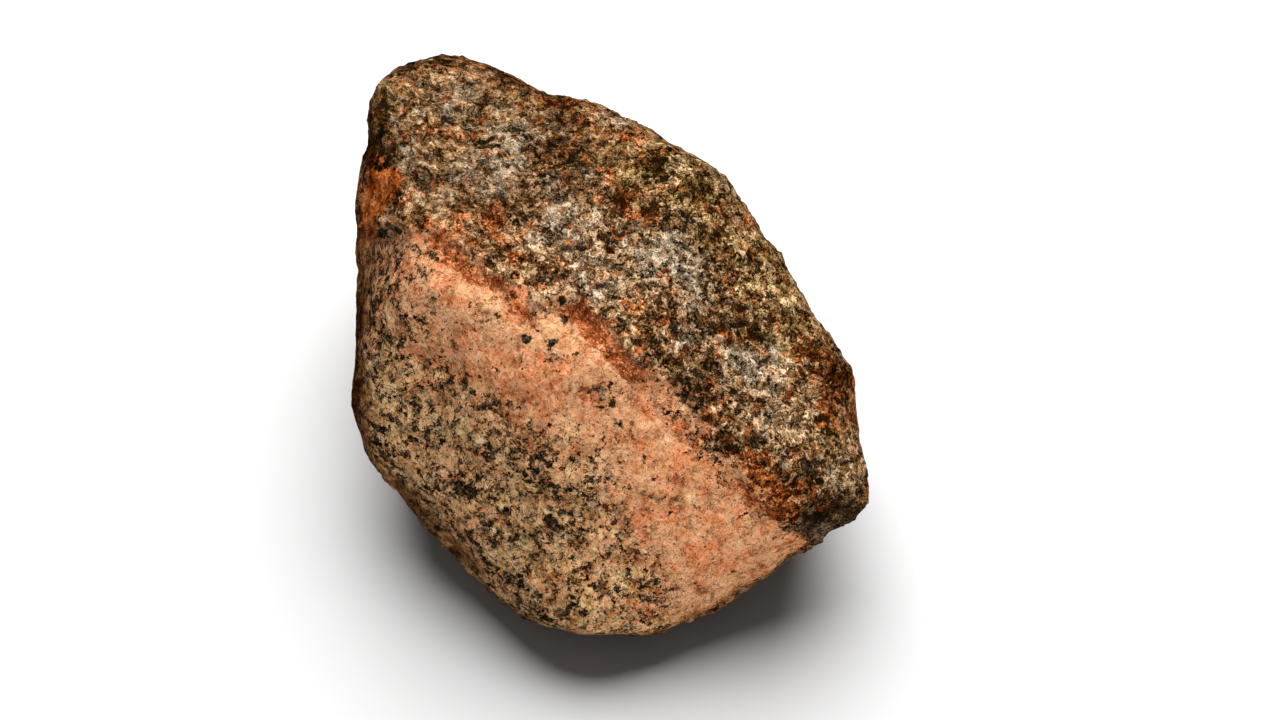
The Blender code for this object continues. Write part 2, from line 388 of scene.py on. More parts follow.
def form(p):
    """Below 0 inside the stone, above 0 outside, about in millimetres."""
    d = to_display(p)
    u, v, w = d[:, 0], d[:, 1], d[:, 2]
    rim = 1.0 + 0.05 * u - 0.10 * v
    terms = [inside_outline(u, v) - SWELL + (w - rim) ** 2 / (2 * BARREL)]
    for at, way in DISPLAY_FACETS:
        n = np.array(way) / np.linalg.norm(way)
        terms.append((d - np.array(at)) @ n)
    for at, way in HIDDEN_FACETS:
        n = np.array(way) / np.linalg.norm(way)
        terms.append((p - np.array(at)) @ n)
    terms = np.stack(terms)
    top = terms.max(0)
    f = top + BLEND * np.log(np.exp((terms - top) / BLEND).sum(0))
    for at, radii, depth in DENTS:
        q = ((d - np.array(at)) / np.array(radii)) ** 2
        f += depth * np.exp(-q.sum(1))
    return f


def broad_roughness(p):
    """Broad bumps and hollows of the broken surface, in millimetres outwards."""
    out = np.empty(len(p))
    for i, q in enumerate(p):
        a = noise.fractal(Vector(q) / 17.0 + Vector((3.1, 7.7, 1.3)), 1.0, 2.0, 3)
        b = noise.noise(Vector(q) / 5.2 + Vector((11.0, 2.0, 5.0)))
        out[i] = 0.85 * a + 0.42 * b
    return out


# ------------------------------------------------- random fields in the stone
_dice = np.random.RandomState(41)
_order = np.tile(_dice.permutation(256), 4)
_slopes = _dice.normal(size=(256, 3))
_slopes /= np.linalg.norm(_slopes, axis=1)[:, None]
_places = 0.5 + 0.42 * (2 * _dice.uniform(size=(256, 3)) - 1)
_chance = _dice.uniform(size=256)


def _pick(i, j, k):
    return _order[_order[_order[i & 255] + (j & 255)] + (k & 255)]


def bumps(p, size, seed=0):
    """Smooth random bumps of about this size, between -1 and 1."""
    q = p / size + 17.3 * seed
    i = np.floor(q).astype(int)
    f = q - i
    w = f * f * f * (f * (f * 6 - 15) + 10)
    total = np.zeros(len(p))
    for a in (0, 1):
        for b in (0, 1):
            for c in (0, 1):
                g = _slopes[_pick(i[:, 0] + a, i[:, 1] + b, i[:, 2] + c)]
                d = f - (a, b, c)
                weight = (
                    (w[:, 0] if a else 1 - w[:, 0])
                    * (w[:, 1] if b else 1 - w[:, 1])
                    * (w[:, 2] if c else 1 - w[:, 2])
                )
                total += weight * (d * g).sum(1)
    return 1.7 * total


def rugged(p, size, layers=4, seed=0, keep=0.5):
    """Bumps with smaller bumps on them, between about -1 and 1."""
    total, weight, whole = np.zeros(len(p)), 1.0, 0.0
    for n in range(layers):
        total += weight * bumps(p, size / 2.03**n, seed + 5 * n + 1)
        whole += weight
        weight *= keep
    return total / whole * 1.25


def drift(p, size, far, seed=0):
    """The points moved about by up to this far, in swirls of this size."""
    return p + far * np.stack([bumps(p, size, seed + n) for n in (31, 32, 33)], 1)


def grains(p, size, seed=0):
    """The grain each point is in: the point from the grain's middle, a random slope
    for the grain, a random number for it, and how near the point is to its edge."""
    q = p / size + 9.1 * seed
    i = np.floor(q).astype(int)
    best, second = np.full(len(p), 9.0), np.full(len(p), 9.0)
    who = np.zeros(len(p), int)
    away = np.zeros_like(p)
    for a in (-1, 0, 1):
        for b in (-1, 0, 1):
            for c in (-1, 0, 1):
                h = _pick(i[:, 0] + a, i[:, 1] + b, i[:, 2] + c)
                d = q - i - (a, b, c) - _places[h]
                r = (d * d).sum(1)
                closer = r < best
                second = np.where(closer, best, np.minimum(second, r))
                best = np.where(closer, r, best)
                who = np.where(closer, h, who)
                away[closer] = d[closer]
    edge = np.sqrt(second) - np.sqrt(best)
    return away * size, _slopes[_order[who + 7]], _chance[who], edge


def chips(p, size, steep, seed=0):
    """Flat broken faces of about this size, each tilted its own way."""
    away, slope, chance, edge = grains(p, size, seed)
    return steep * (away * slope).sum(1) + 0.25 * steep * size * (chance - 0.5)


# ------------------------------------------------------------- the fine mesh
def ball(cuts):
    """Points and triangles of a sphere made from an icosahedron, cut finely."""
    g = (1 + 5**0.5) / 2
    corners = np.array(
        [
            (-1, g, 0),
            (1, g, 0),
            (-1, -g, 0),
            (1, -g, 0),
            (0, -1, g),
            (0, 1, g),
            (0, -1, -g),
            (0, 1, -g),
            (g, 0, -1),
            (g, 0, 1),
            (-g, 0, -1),
            (-g, 0, 1),
        ],
        float,
    )
    corners /= np.linalg.norm(corners, axis=1)[:, None]
    near = np.linalg.norm(corners[0] - corners[1])
    sides = [
        (a, b)
        for a in range(12)
        for b in range(a + 1, 12)
        if np.linalg.norm(corners[a] - corners[b]) < near * 1.01
    ]
    joined = set(sides)
    places, at = [tuple(c) for c in corners], {}
    for n in range(12):
        at[(n,)] = n
    along = {}
    for a, b in sides:
        row = [a]
        for t in range(1, cuts):
            along[(a, b, t)] = len(places)
            row.append(len(places))
            # equal angles along the arc, so that the triangles are alike in size
            turn = math.acos(float(corners[a] @ corners[b]))
            s = t / cuts
            places.append(
                tuple(
                    (math.sin((1 - s) * turn) * corners[a] + math.sin(s * turn) * corners[b])
                    / math.sin(turn)
                )
            )
    faces = []
    for a in range(12):
        for b in range(a + 1, 12):
            for c in range(b + 1, 12):
                if not {(a, b), (a, c), (b, c)} <= joined:
                    continue
                grid = {}
                for i in range(cuts + 1):  # i steps towards b, j steps towards c
                    for j in range(cuts + 1 - i):
                        if i == j == 0:
                            grid[i, j] = a
                        elif i == cuts:
                            grid[i, j] = b
                        elif j == cuts:
                            grid[i, j] = c
                        elif j == 0:
                            grid[i, j] = along[(a, b, i)]
                        elif i == 0:
                            grid[i, j] = along[(a, c, j)]
                        elif i + j == cuts:
                            grid[i, j] = along[(b, c, j)]
                        else:
                            k = np.array([cuts - i - j, i, j]) / cuts
                            # the same spacing inside the face as along its arcs
                            k = np.sin(k * turn)
                            spot = k[0] * corners[a] + k[1] * corners[b] + k[2] * corners[c]
                            grid[i, j] = len(places)
                            places.append(tuple(spot / np.linalg.norm(spot)))
                out = np.cross(corners[b] - corners[a], corners[c] - corners[a])
                flip = out @ corners[a] < 0
                for i in range(cuts):
                    for j in range(cuts - i):
                        one = (grid[i, j], grid[i + 1, j], grid[i, j + 1])
                        faces.append(one[::-1] if flip else one)
                        if i + j < cuts - 1:
                            two = (grid[i + 1, j], grid[i + 1, j + 1], grid[i, j + 1])
                            faces.append(two[::-1] if flip else two)
    return np.array(places), np.array(faces)


def solve(directions):
    """Where the stone's plain surface lies along each direction, and which way it faces."""
    near, far = np.full(len(directions), 15.0), np.full(len(directions), 65.0)
    for _ in range(24):
        mid = (near + far) / 2
        outside = form(directions * mid[:, None]) > 0
        far, near = np.where(outside, mid, far), np.where(outside, near, mid)
    p = directions * ((near + far) / 2)[:, None]
    h = 0.25
    slope = np.stack([form(p + h * e) - form(p - h * e) for e in np.eye(3)], 1)
    return p, slope / np.linalg.norm(slope, axis=1)[:, None]


def spots(u, v, places):
    """How strongly these spots show at each point."""
    total = np.zeros(len(u))
    for (cu, cv), (ru, rv), turn, strength in places:
        c, s = math.cos(turn), math.sin(turn)
        a = ((u - cu) * c + (v - cv) * s) / ru
        b = ((v - cv) * c - (u - cu) * s) / rv
        total += strength * np.exp(-(a * a + b * b))
    return total


directions, faces = ball(DIVISIONS)
facing = np.array(to_body((0.0, 0.0, 1.0)))
directions = directions + CROWD * facing
directions /= np.linalg.norm(directions, axis=1)[:, None]
plain, normal = solve(directions)

# ---------------------------------------------------- where each material lies
d = to_display(plain)
loose = drift(d, 3.2, 0.9, 1)  # the borders between materials wander
loose = drift(loose, 1.2, 0.35, 4)
u, v, w = loose[:, 0], loose[:, 1], loose[:, 2]
rim = 1.0 + 0.05 * u - 0.10 * v
front = smoothstep(-5.0, 3.0, w - rim)  # 1 on the display side, 0 on the hidden one
ledge = beside(LEDGE, u, v)
# behind the rim the border between the two kinds of surface swings round the stone
behind = 6.0 + 9.0 * bumps(d, 21.0, 8) + 3.0 * bumps(d, 8.0, 9)
side = front * ledge + (1 - front) * behind

pale = spots(u, v, PALE) * front + (1 - front) * 0.45 * smoothstep(0.1, 0.6, bumps(d, 9.0, 11))
shade = spots(u, v, SHADE) * front
rust = spots(u, v, RUST) * front + (1 - front) * 0.7 * smoothstep(0.0, 0.7, bumps(d, 10.0, 13))
olive = np.minimum(spots(u, v, OLIVE), 1.2) * front + (1 - front) * (0.5 + 0.4 * bumps(d, 14.0, 15))
layered = np.minimum(spots(u, v, LAYERED), 1.0) * front + (1 - front) * 0.35
scarp = spots(u, v, SCARP) * front * smoothstep(1.8, 0.3, ledge * smoothstep(20.0, 16.0, v))
scarp = np.maximum(scarp, spots(u, v, RIGHT_EDGE) * smoothstep(-9.0, -4.0, w - rim))
rim_shade_and_crust = spots(u, v, RIM_SHADE_AND_CRUST) * front
orange = spots(u, v, ORANGE) * smoothstep(-9.0, -2.0, w - rim)

# the pink band runs along the ledge and widens to the lower right
into = -beside(SPECKLED, u, v)
pink = 1 - smoothstep(-7.0, 9.0, into)
speck = smoothstep(-6.5, 2.8, into) ** 1.2
speck *= 1 - 0.6 * np.minimum(spots(u, v, CLEAR), 1)
speck = np.clip(speck * (0.9 + 0.35 * bumps(d, 6.0, 17)), 0, 1)
speck = np.clip(speck + spots(u, v, CLUSTERS) * front, 0, 1)
speck = front * speck + (1 - front) * np.clip(0.75 + 0.35 * bumps(d, 12.0, 19), 0, 1)
pink = front * pink + (1 - front) * np.clip(0.35 + 0.6 * bumps(d, 15.0, 20), 0, 1)

# the old skin of the stone: its outer sides, and a rim round the display side, the left strip and the lower left edge;
# on those rims its darkness is partly painted shade where the surface turns from the light
outside = inside_outline(u, v)
low_right = smoothstep(-12.0, 2.0, u) * smoothstep(-14.0, -24.0, v)
skin_and_rim_shade = 1 - smoothstep(-5.0, 2.0, w - rim)
skin_and_rim_shade = np.maximum(skin_and_rim_shade, smoothstep(-1.8, -0.1, outside) * (0.50 - 0.33 * low_right))
skin_and_rim_shade = np.maximum(skin_and_rim_shade, np.exp(-(((u + 39.2) / 2.8) ** 2)) * smoothstep(28.0, 12.0, v) * 1.1)
lower_left = -0.70 * (u + 27.8) - 0.71 * (v + 28.2)  # distance past the lower left edge
skin_and_rim_shade = np.maximum(skin_and_rim_shade, smoothstep(-5.0, 0.5, lower_left) * smoothstep(-16.0, -24.0, u) * 1.15)
tip = np.exp(-(((u - 34.5) / 7.0) ** 2 + ((v + 27.5) / 3.6) ** 2)) * 1.3

# -------------------------------------------------------- the broken surface
rough = smoothstep(-0.5, 0.5, side)
old = np.clip(skin_and_rim_shade, 0, 1)
height = broad_roughness(plain)
swirl = drift(d, 2.6, 0.5, 21)

# the ledge itself, deepest where its broken faces are stained
cut = LEDGE_STEP * (0.45 + 0.55 * smoothstep(14.0, 4.0, u)) * smoothstep(2.0, 9.0, w)
drop = smoothstep(-LEDGE_WIDTH, LEDGE_WIDTH, -ledge)
drop *= smoothstep(-LEDGE_REACH, -LEDGE_WIDTH, ledge)
height -= cut * drop
height += 0.25 * front * np.exp(-(((ledge - 0.9) / 1.1) ** 2))

# the rough face: tilted breaks of several sizes, pits and fine grain
coarse = chips(swirl, 7.5, 0.11, 1) + chips(swirl, 3.6, 0.15, 2)
fine = chips(drift(d, 1.3, 0.2, 41), 1.7, 0.22, 3) + 0.07 * bumps(d, 0.95, 23)
pits = smoothstep(0.30, 0.85, bumps(swirl, 2.3, 24)) * (0.5 + 0.5 * bumps(d, 9.0, 25))
flow = d * (0.28, 1.0, 0.6) + np.stack([np.zeros(len(d)), 1.1 * bumps(d, 6.0, 26), np.zeros(len(d))], 1)
ridges = 1 - np.abs(bumps(flow, 1.55, 27)) * 2
broken = coarse + fine - 0.42 * np.maximum(pits, 0) + 0.16 * layered * ridges

# the smooth face: shallow scoops and a fine grain
scoops = 0.16 * bumps(d, 4.2, 51) + 0.07 * bumps(d, 1.9, 52)
grit = 0.045 * bumps(d, 0.9, 53) + chips(swirl, 2.4, 0.05, 5)
nicks = smoothstep(0.55, 0.9, bumps(swirl, 1.5, 54))
smooth = scoops + grit - 0.16 * nicks

# the old skin: knocked about, with rounded edges
skin = chips(swirl, 8.5, 0.10, 6) + chips(swirl, 3.4, 0.09, 7)
skin += 0.12 * bumps(d, 1.7, 61) + 0.06 * bumps(d, 0.9, 62)
skin -= 0.35 * smoothstep(0.45, 0.9, bumps(swirl, 2.6, 63))

relief = rough * broken + (1 - rough) * smooth
relief = relief * (1 - 0.75 * old) + 0.75 * old * (0.6 * skin + 0.4 * relief)
# how hollow each point is: the finish uses it to paint shade into the hollows and highlight onto the raised grain
cavity = fine * 1.6 - 0.55 * np.maximum(pits, 0) + 0.2 * layered * (ridges - 0.3)
cavity = rough * cavity + (1 - rough) * (grit * 3 - 0.3 * nicks)
relief *= 1 - 0.35 * front * smoothstep(-2.5, -0.5, outside)
height += relief

points = plain + normal * height[:, None]
under = points[:, 2] < -BASE_DROP
points[under] *= (-BASE_DROP / points[under, 2])[:, None]
# the broken underside is not quite flat either: it stands on its high places
flat = smoothstep(-BASE_DROP + 0.6, -BASE_DROP, points[:, 2])
lift = np.maximum(0.35 * rugged(d, 7.0, 4, 70) + chips(swirl, 5.0, 0.07, 8) - 0.05, 0)
points[:, 2] += flat * lift
points += np.array([CENTRE[0], CENTRE[1], BASE_DROP])

mesh = bpy.data.meshes.new("meteorite_stone")
mesh.vertices.add(len(points))
mesh.vertices.foreach_set("co", (points * MM).astype(np.float32).ravel())
mesh.loops.add(len(faces) * 3)
mesh.loops.foreach_set("vertex_index", faces.astype(np.int32).ravel())
mesh.polygons.add(len(faces))
mesh.polygons.foreach_set("loop_start", np.arange(0, len(faces) * 3, 3, dtype=np.int32))
mesh.polygons.foreach_set("loop_total", np.full(len(faces), 3, dtype=np.int32))
mesh.update(calc_edges=True)
mesh.validate()
mesh.shade_smooth()


def keep(name, *parts):
    """Stores three fields on the mesh for the material to read."""
    layer = mesh.attributes.new(name, "FLOAT_VECTOR", "POINT")
    values = np.stack(parts, 1).astype(np.float32)
    layer.data.foreach_set("vector", values.ravel())


keep("zone_a", side, pink, speck)
keep("zone_b", rust, layered, pale)
keep("zone_c", shade, orange, scarp)
keep("zone_d", olive, skin_and_rim_shade, cavity)
keep("zone_e", tip, front, rim_shade_and_crust)

stone = bpy.data.objects.new("meteorite_stone", mesh)
bpy.context.scene.collection.objects.link(stone)


# ---------------------------------------------------------------- the finish
def rgb(r, g, b):
    """A colour as seen, 0 to 255, in the linear values that a shader takes."""
    c = [x / 255 for x in (r, g, b)]
    return tuple(x / 12.92 if x <= 0.04045 else ((x + 0.055) / 1.055) ** 2.4 for x in c) + (1.0,)


class Nodes:
    """Short ways to write the nodes of one material."""

    def __init__(self, tree):
        self.tree = tree

    def new(self, kind, **settings):
        node = self.tree.nodes.new(kind)
        for name, value in settings.items():
            setattr(node, name, value)
        return node

    def put(self, value, socket):
        if isinstance(value, bpy.types.NodeSocket):
            self.tree.links.new(value, socket)
        elif value is not None:
            socket.default_value = value

    def calc(self, operation, a, b=None, c=None, clamp=False):
        node = self.new("ShaderNodeMath", operation=operation, use_clamp=clamp)
        for value, socket in zip((a, b, c), node.inputs):
            self.put(value, socket)
        return node.outputs[0]

    def add(self, *values):
        total = values[0]
        for value in values[1:]:
            total = self.calc("ADD", total, value)
        return total

    def times(self, a, b, clamp=False):
        return self.calc("MULTIPLY", a, b, clamp=clamp)

    def part(self, a, gain, shift=0.0, clamp=False):
        """a * gain + shift"""
        return self.calc("MULTIPLY_ADD", a, gain, shift, clamp=clamp)

    def span(self, x, low, high, to_low=0.0, to_high=1.0, smooth=True):
        node = self.new("ShaderNodeMapRange", interpolation_type="SMOOTHSTEP" if smooth else "LINEAR")
        for value, socket in zip((x, low, high, to_low, to_high), node.inputs):
            self.put(value, socket)
        return node.outputs[0]

    def vector(self, operation, a, b=None, scale=None):
        node = self.new("ShaderNodeVectorMath", operation=operation)
        self.put(a, node.inputs[0])
        if b is not None:
            self.put(b, node.inputs[1])
        if scale is not None:
            self.put(scale, node.inputs["Scale"])
        return node.outputs["Value" if operation in ("DOT_PRODUCT", "LENGTH", "DISTANCE") else "Vector"]

    def mix(self, share, a, b, way="MIX"):
        node = self.new("ShaderNodeMix", data_type="RGBA", blend_type=way, clamp_factor=True)
        self.put(share, node.inputs["Factor"])
        self.put(a, node.inputs[6])
        self.put(b, node.inputs[7])
        return node.outputs[2]

    def between(self, share, a, b):
        node = self.new("ShaderNodeMix", data_type="FLOAT", clamp_factor=True)
        self.put(share, node.inputs["Factor"])
        self.put(a, node.inputs[2])
        self.put(b, node.inputs[3])
        return node.outputs[0]

    def noise(self, place, scale, detail=2.0, rough=0.5, swirl=0.0, colour=False):
        node = self.new("ShaderNodeTexNoise", noise_dimensions="3D", normalize=True)
        self.put(place, node.inputs["Vector"])
        self.put(scale, node.inputs["Scale"])
        self.put(detail, node.inputs["Detail"])
        self.put(rough, node.inputs["Roughness"])
        self.put(swirl, node.inputs["Distortion"])
        return node.outputs["Color" if colour else "Fac"]

    def cells(self, place, scale, spread=1.0, feature="F1"):
        node = self.new("ShaderNodeTexVoronoi", voronoi_dimensions="3D", feature=feature)
        self.put(place, node.inputs["Vector"])
        self.put(scale, node.inputs["Scale"])
        self.put(spread, node.inputs["Randomness"])
        return node.outputs

    def split(self, vector):
        node = self.new("ShaderNodeSeparateXYZ")
        self.put(vector, node.inputs[0])
        return node.outputs

    def ramp(self, x, stops, way="LINEAR"):
        node = self.new("ShaderNodeValToRGB")
        ramp = node.color_ramp
        ramp.interpolation = way
        while len(ramp.elements) < len(stops):
            ramp.elements.new(0.5)
        for element, (at, colour) in zip(ramp.elements, stops):
            element.position = at
            element.color = rgb(*colour)
        self.put(x, node.inputs[0])
        return node.outputs[0]

    def field(self, name):
        node = self.new("ShaderNodeAttribute", attribute_type="GEOMETRY", attribute_name=name)
        return self.split(node.outputs["Vector"])


finish = bpy.data.materials.new("weathered_stone_finish")
finish.use_nodes = True
n = Nodes(finish.node_tree)
shader = finish.node_tree.nodes["Principled BSDF"]

# places in the stone, in millimetres, in the display frame
middle = to_display(np.array([[CENTRE[0], CENTRE[1], BASE_DROP]]))[0]
place = n.new("ShaderNodeMapping", vector_type="POINT")
n.put(n.new("ShaderNodeTexCoord").outputs["Object"], place.inputs["Vector"])
place.inputs["Scale"].default_value = (1000.0, 1000.0, 1000.0)
place.inputs["Rotation"].default_value = (math.radians(FACE_LEAN - 90.0), 0.0, 0.0)
place.inputs["Location"].default_value = tuple(-middle)
place = place.outputs[0]

side, pink, speck = n.field("zone_a")
rust, layered, pale = n.field("zone_b")
shade, orange, scarp = n.field("zone_c")
olive, skin_and_rim_shade, cavity = n.field("zone_d")
tip, front, rim_shade_and_crust = n.field("zone_e")

# places pushed about in swirls, so that grains come out ragged and torn
half = (0.5, 0.5, 0.5)
push = n.vector("SUBTRACT", n.noise(place, 0.80, 3.0, 0.62, colour=True), half)
ragged = n.vector("ADD", place, n.vector("SCALE", push, scale=3.4))
push = n.vector("SUBTRACT", n.noise(place, 2.9, 2.0, 0.6, colour=True), half)
ragged = n.vector("ADD", ragged, n.vector("SCALE", push, scale=1.15))


def grain_layer(place, scale):
    """Grains with a random colour, and the height of their tilted tops."""
    out = n.cells(place, scale)
    chance = n.split(out["Color"])
    away = n.vector("SUBTRACT", n.vector("SCALE", place, scale=scale), n.vector("SCALE", out["Position"], scale=scale))
    tilt = n.vector("DOT_PRODUCT", away, n.vector("SUBTRACT", out["Color"], half))
    return chance, tilt, out["Distance"]


big, big_tilt, big_away = grain_layer(ragged, 0.72)
mid, mid_tilt, mid_away = grain_layer(ragged, 1.65)
small, small_tilt, small_away = grain_layer(ragged, 3.6)
swirls = n.noise(ragged, 0.88, 3.0, 0.66)
curls = n.noise(ragged, 2.3, 3.0, 0.62)
dust = n.noise(place, 7.0, 2.0, 0.6)
blotch = n.noise(place, 0.33, 4.0, 0.55)
patch = n.noise(place, 0.12, 3.0, 0.5)
hue = n.split(n.noise(ragged, 0.40, 4.0, 0.66, colour=True))
hue_fine = n.split(n.noise(ragged, 1.25, 3.0, 0.66, colour=True))
# painted highlight: pale threads along the torn edges of the grains
thread_highlights = n.span(n.calc("ABSOLUTE", n.part(swirls, 1.0, -0.52)), 0.0, 0.05, 1.0, 0.0)

# the wavy layers
push = n.vector("SUBTRACT", n.noise(place, 0.24, 2.0, 0.5, colour=True), half)
wavy = n.vector("ADD", place, n.vector("SCALE", push, scale=7.0))
push = n.vector("SUBTRACT", n.noise(place, 1.1, 3.0, 0.62, colour=True), half)
wavy = n.vector("ADD", wavy, n.vector("SCALE", push, scale=2.2))
flow = n.new("ShaderNodeMapping", vector_type="TEXTURE")
n.put(wavy, flow.inputs["Vector"])
flow.inputs["Scale"].default_value = (2.8, 1.0, 1.3)
flow.inputs["Rotation"].default_value = (0.0, 0.0, -0.12)
streak = n.noise(flow.outputs[0], 0.85, 4.0, 0.68)
streak_fine = n.noise(flow.outputs[0], 2.4, 3.0, 0.64)

# places pushed about less, so that flecks come out broken but not curled
push = n.vector("SUBTRACT", n.noise(place, 1.5, 3.0, 0.62, colour=True), half)
chipped = n.vector("ADD", place, n.vector("SCALE", push, scale=1.7))
fleck, fleck_tilt, fleck_away = grain_layer(chipped, 1.05)
crumb, crumb_tilt, crumb_away = grain_layer(chipped, 2.4)
tint = n.split(n.noise(chipped, 0.55, 4.0, 0.66, colour=True))

# -- the rough face
tone = n.add(
    n.part(swirls, 1.75, -0.477),
    n.part(curls, 0.50, -0.250),
    n.part(big[0], 0.26, -0.13),
    n.part(mid[0], 0.34, -0.17),
    n.part(mid_away, 0.75, -0.338),
    n.part(small[0], 0.10, -0.05),
    n.part(dust, 0.30, -0.15),
    n.part(blotch, 1.0, -0.50),
    n.times(thread_highlights, 0.12),
)
in_layers = n.add(
    n.part(streak, 2.3, -0.67),
    n.part(streak_fine, 1.7, -0.85),
    n.part(swirls, 0.7, -0.35),
    n.part(curls, 0.9, -0.45),
    n.part(crumb[0], 0.16, -0.08),
    n.part(dust, 0.35, -0.175),
    n.times(thread_highlights, 0.06),
)
tone = n.between(n.times(layered, 0.90), tone, in_layers)
# shade darkens the creases as painted shade; cavity paints highlight on the raised grain and shade in the hollows
tone = n.add(tone, n.times(pale, 0.06), n.times(shade, -0.34), n.times(cavity, 0.28), n.times(layered, -0.050), -0.048)
STEPS = (0.08, 0.23, 0.36, 0.50, 0.64, 0.77, 0.92)


def palette(tone, *colours):
    """Colours from dark to light, over the whole spread of a tone."""
    return n.ramp(tone, list(zip(STEPS, colours)))


rough_colour = palette(
    tone, (20, 12, 4), (50, 32, 14), (90, 62, 35), (134, 99, 64), (170, 131, 92), (202, 165, 124), (240, 212, 170)
)
grey_colour = palette(
    tone, (24, 19, 12), (58, 49, 35), (100, 86, 66), (141, 124, 100), (171, 154, 130), (198, 182, 157), (236, 223, 200)
)
olive_colour = palette(
    tone, (17, 11, 2), (46, 34, 10), (82, 62, 26), (122, 97, 50), (158, 131, 78), (194, 167, 112), (238, 216, 164)
)
rust_colour = palette(
    tone, (34, 14, 2), (74, 34, 8), (118, 56, 17), (160, 79, 29), (194, 106, 49), (220, 144, 85), (246, 198, 150)
)
# grey and whitish grains
greyness = n.add(n.part(hue[0], 3.6, -1.96), n.part(hue_fine[0], 1.8, -0.9), n.times(pale, 0.76), n.part(big[1], 0.40, -0.20))
rough_colour = n.mix(n.span(greyness, 0.05, 0.55, 0.0, 0.88), rough_colour, grey_colour)
# olive weathering
olive_share = n.add(n.part(hue[1], 3.8, -2.06), n.part(hue_fine[1], 1.8, -0.80), n.times(olive, 0.56), n.times(pale, -0.35), n.part(mid[1], 0.34, -0.17))
rough_colour = n.mix(n.span(olive_share, 0.05, 0.55, 0.0, 0.80), rough_colour, olive_colour)
# rust
rust_share = n.add(n.part(hue[2], 4.0, -2.20), n.part(hue_fine[2], 2.2, -1.1), n.times(rust, 0.66), n.times(pale, -0.40), n.part(mid[2], 0.40, -0.20))
rough_colour = n.mix(n.span(rust_share, 0.12, 0.36, 0.0, 0.92), rough_colour, rust_colour)

# -- the smooth face
scrape = n.new("ShaderNodeMapping", vector_type="TEXTURE")
n.put(ragged, scrape.inputs["Vector"])
scrape.inputs["Rotation"].default_value = (0.0, 0.0, -0.75)
scrape.inputs["Scale"].default_value = (1.9, 0.80, 1.0)
pores = n.noise(scrape.outputs[0], 1.9, 3.0, 0.64)
# cavity here paints highlight on the raised grain and shade in the hollows
grain = n.add(
    n.part(pores, 0.7, 0.14),
    n.part(curls, 0.7, -0.35),
    n.part(fleck[0], 0.16, -0.08),
    n.part(crumb[0], 0.24, -0.12),
    n.part(dust, 0.5, -0.25),
    n.part(blotch, 0.9, -0.45),
    n.times(cavity, 0.25),
)
pink_colour = palette(
    grain, (92, 54, 30), (144, 90, 56), (186, 128, 87), (207, 149, 107), (219, 161, 118), (231, 175, 131), (246, 199, 156)
)
rosy_colour = palette(
    grain, (96, 40, 16), (146, 72, 36), (186, 103, 59), (210, 127, 80), (224, 144, 97), (236, 162, 116), (248, 190, 148)
)
tan_colour = palette(
    grain, (80, 54, 28), (134, 97, 57), (185, 141, 90), (214, 169, 116), (231, 187, 134), (244, 205, 153), (253, 228, 184)
)
moss_colour = palette(
    grain, (58, 43, 18), (98, 78, 40), (138, 113, 67), (170, 144, 92), (195, 167, 113), (217, 189, 137), (240, 217, 172)
)
# the border between pink and tan is in clouds
clouds = n.part(n.span(tint[0], 0.38, 0.62), 1.0, -0.5)
pink_share = n.add(pink, n.times(clouds, 1.0), n.part(patch, 1.0, -0.5), n.part(fleck[0], 0.5, -0.13))
smooth_colour = n.mix(n.span(pink_share, 0.15, 0.80), tan_colour, pink_colour)
# olive and grey clouds, and red ones
mossy = n.add(tint[1], n.part(hue[1], 0.5, -0.25), n.part(fleck[1], 0.10, -0.05), n.part(pink, -0.05, 0.02))
smooth_colour = n.mix(n.span(mossy, 0.53, 0.65, 0.0, 0.62), smooth_colour, moss_colour)
rosy = n.add(hue[2], n.part(patch, 0.5, -0.25), n.part(crumb[1], 0.10, -0.05))
smooth_colour = n.mix(n.times(n.span(rosy, 0.47, 0.59), n.part(pink, 0.50, 0.42, clamp=True)), smooth_colour, rosy_colour)
# dark brown pores, drawn out as if scraped
pore_share = n.times(n.span(n.add(pores, n.part(dust, 0.25, -0.125)), 0.405, 0.360), n.span(blotch, 0.44, 0.58, 0.10, 0.60))
smooth_colour = n.mix(pore_share, smooth_colour, rgb(98, 58, 30))
# grey quartz among the specks
glassy = n.times(n.span(n.add(fleck[2], n.part(tint[2], 1.0, -0.5)), 0.76, 0.84), n.part(speck, 0.80, 0.06))
glassy = n.times(glassy, n.span(fleck_away, 0.42, 0.58, 1.0, 0.0))
smooth_colour = n.mix(glassy, smooth_colour, n.ramp(curls, [(0.34, (66, 58, 46)), (0.48, (112, 101, 84)), (0.62, (160, 148, 128))]))
# black mica: it gathers, and each gathering has a brown halo
gather = n.noise(place, 0.40, 3.0, 0.6)
dense = n.add(n.times(speck, n.span(gather, 0.36, 0.62, 0.84, 1.12)), n.span(n.noise(place, 0.21, 3.0, 0.6), 0.46, 0.64, 0.0, 0.34))
grit = n.add(
    n.part(n.noise(chipped, 0.72, 3.0, 0.62), 0.90, -0.45),
    n.part(fleck[1], 0.22, -0.11),
    n.part(crumb[1], 0.20, -0.10),
    n.part(curls, 0.40, -0.20),
)
over = n.calc("SUBTRACT", grit, n.part(dense, 0.214, -0.260))
halo = n.times(n.span(over, 0.0, 0.095, 0.80, 0.0), n.span(speck, 0.0, 0.5, 0.2, 1.0))
smooth_colour = n.mix(halo, smooth_colour, n.ramp(tint[2], [(0.36, (64, 48, 22)), (0.48, (96, 66, 38)), (0.60, (128, 78, 44))]))
pricks = n.span(n.add(crumb[2], n.part(dense, -0.07, -0.018)), 0.0, 0.008, 0.95, 0.0)
pricks = n.times(pricks, n.span(crumb_away, 0.36, 0.46, 1.0, 0.0))
pepper = n.span(n.add(small[1], n.part(dense, -0.06, -0.016)), 0.0, 0.012, 0.85, 0.0)
